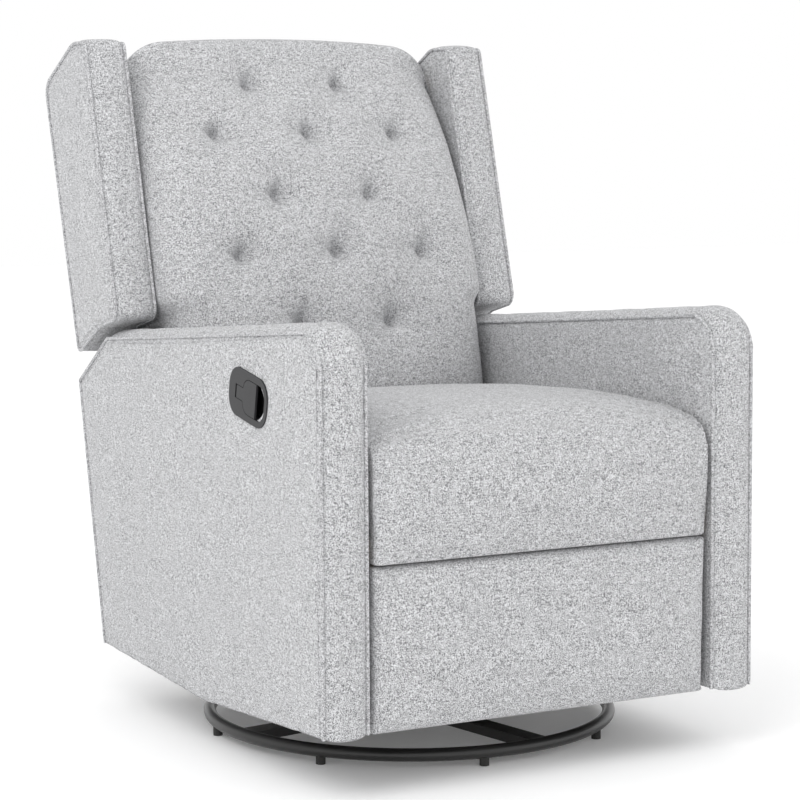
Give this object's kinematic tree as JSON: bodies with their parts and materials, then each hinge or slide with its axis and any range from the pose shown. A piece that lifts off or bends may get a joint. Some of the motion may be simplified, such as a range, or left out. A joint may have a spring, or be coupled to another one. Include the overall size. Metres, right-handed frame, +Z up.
{
  "type": "glider nursery chair",
  "caption": "Upholstered wingback swivel glider with a tufted reclining back, hanging link glide, fold-out footrest and a pull release in the arm.",
  "frame": {"origin": "middle of the whole chair's footprint at the floor, footrest closed and back upright", "axes": "+Z up, the sitter faces -Y, the sitter's right arm with the release is on -X"},
  "size_m": [0.72, 0.9398, 1.0391],
  "materials": {
    "upholstery_fabric": "light grey linen weave",
    "frame_wood": "sawn plywood",
    "base_paint": "satin black paint",
    "mechanism_paint": "dark powder coat",
    "bright_steel": "zinc plated",
    "moulded_plastic": "fine moulded grain",
    "pad_rubber": "matt",
    "cable_sheath": "smooth sheath",
    "webbing": "elastic webbing"
  },
  "bodies": {
    "base": {"base_ring": "base_paint", "floor_pads": "pad_rubber", "base_cross_bars": "base_paint", "swivel_lower_plate": "mechanism_paint", "king_pin": "bright_steel", "king_nut": "bright_steel", "bearing_balls": "bright_steel", "ball_cage": "moulded_plastic"},
    "swivel_frame": {"swivel_upper_plate": "mechanism_paint", "glider_cross_rails": "mechanism_paint", "swivel_side_plates": "mechanism_paint", "link_top_pins": "bright_steel"},
    "front_hangers": {"front_glide_links": "mechanism_paint"},
    "rear_hangers": {"rear_glide_links": "mechanism_paint"},
    "carriage": {"glide_brackets": "mechanism_paint", "link_lower_pins": "bright_steel", "mechanism_plate_right": "mechanism_paint", "mechanism_plate_left": "mechanism_paint", "cross_tubes": "mechanism_paint", "front_seat_rail": "frame_wood", "rear_seat_rail": "frame_wood", "seat_springs": "bright_steel", "seat_cushion": "upholstery_fabric", "arm_frame_right": "frame_wood", "arm_frame_left": "frame_wood", "arm_cover_right": "upholstery_fabric", "arm_cover_left": "upholstery_fabric", "rear_valance": "upholstery_fabric", "recline_bolts": "bright_steel", "footrest_pivot_rivets": "bright_steel", "release_cup": "moulded_plastic", "release_hinge_pin": "bright_steel", "release_cable": "cable_sheath"},
    "backrest": {"back_post_right": "frame_wood", "back_post_left": "frame_wood", "back_rails": "frame_wood", "back_webbing": "webbing", "back_brackets": "mechanism_paint", "back_cushion": "upholstery_fabric", "wing_frame_right": "frame_wood", "wing_frame_left": "frame_wood", "wing_cover_right": "upholstery_fabric", "wing_cover_left": "upholstery_fabric", "outside_back": "upholstery_fabric"},
    "paddle": {"release_paddle": "moulded_plastic"},
    "footrest_main": {"main_links": "mechanism_paint", "footrest_sync_bar": "mechanism_paint", "main_link_rivets": "bright_steel"},
    "footrest_rear_control": {"rear_control_links": "mechanism_paint"},
    "footrest_front": {"front_links": "mechanism_paint", "front_link_rivets": "bright_steel"},
    "footrest_outer_control": {"outer_control_links": "mechanism_paint", "outer_link_rivets": "bright_steel"},
    "footrest": {"footrest_brackets": "mechanism_paint", "footrest_board": "frame_wood", "footrest_cushion": "upholstery_fabric"}
  },
  "joints": [
    {"name": "swivel", "type": "hinge", "parent": "base", "child": "swivel_frame", "pos_m": [0, -0.0814, 0.0398], "axis": [0, 0, 1], "continuous": true},
    {"name": "glide", "type": "hinge", "parent": "swivel_frame", "child": "front_hangers", "pos_m": [0, -0.1764, 0.224], "axis": [1, 0, 0], "range_deg": [-22, 22]},
    {"name": "front_hanger_foot", "type": "hinge", "parent": "front_hangers", "child": "carriage", "pos_m": [0, -0.1764, 0.094], "axis": [1, 0, 0], "range_deg": [-22, 22]},
    {"name": "rear_hanger_top", "type": "hinge", "parent": "swivel_frame", "child": "rear_hangers", "pos_m": [0, 0.0136, 0.224], "axis": [1, 0, 0], "range_deg": [-22, 22]},
    {"name": "recline", "type": "hinge", "parent": "carriage", "child": "backrest", "pos_m": [0, 0.1686, 0.35], "axis": [-1, 0, 0], "range_deg": [0, 28]},
    {"name": "footrest_open", "type": "hinge", "parent": "carriage", "child": "footrest_main", "pos_m": [0, -0.31791, 0.284], "axis": [-1, 0, 0], "range_deg": [0, 118]},
    {"name": "rear_control_pivot", "type": "hinge", "parent": "carriage", "child": "footrest_rear_control", "pos_m": [0, -0.28798, 0.28191], "axis": [-1, 0, 0], "range_deg": [0, 118]},
    {"name": "front_link_pivot", "type": "hinge", "parent": "footrest_main", "child": "footrest_front", "pos_m": [0, -0.22636, 0.11182], "axis": [-1, 0, 0], "range_deg": [-118, 0]},
    {"name": "outer_control_pivot", "type": "hinge", "parent": "footrest_main", "child": "footrest_outer_control", "pos_m": [0, -0.21241, 0.12857], "axis": [-1, 0, 0], "range_deg": [-122.2, 0]},
    {"name": "footrest_tilt", "type": "hinge", "parent": "footrest_front", "child": "footrest", "pos_m": [0, -0.4159, 0.12508], "axis": [-1, 0, 0], "range_deg": [0, 90.3]},
    {"name": "release_pull", "type": "hinge", "parent": "carriage", "child": "paddle", "pos_m": [-0.3485, -0.21793, 0.53308], "axis": [0, 0.1736, -0.9848], "range_deg": [0, 35], "stiffness_Nm_per_rad": 0.3, "springref_deg": -17.19}
  ],
  "couplings": [
    {"joint": "front_hanger_foot", "follows": "glide", "ratio": -1},
    {"joint": "rear_hanger_top", "follows": "glide", "ratio": 1},
    {"joint": "rear_control_pivot", "follows": "footrest_open", "ratio": 1},
    {"joint": "front_link_pivot", "follows": "footrest_open", "ratio": -1},
    {"joint": "outer_control_pivot", "follows": "footrest_open", "ratio": -1.0348},
    {"joint": "footrest_tilt", "follows": "footrest_open", "ratio": 0.7645}
  ]
}
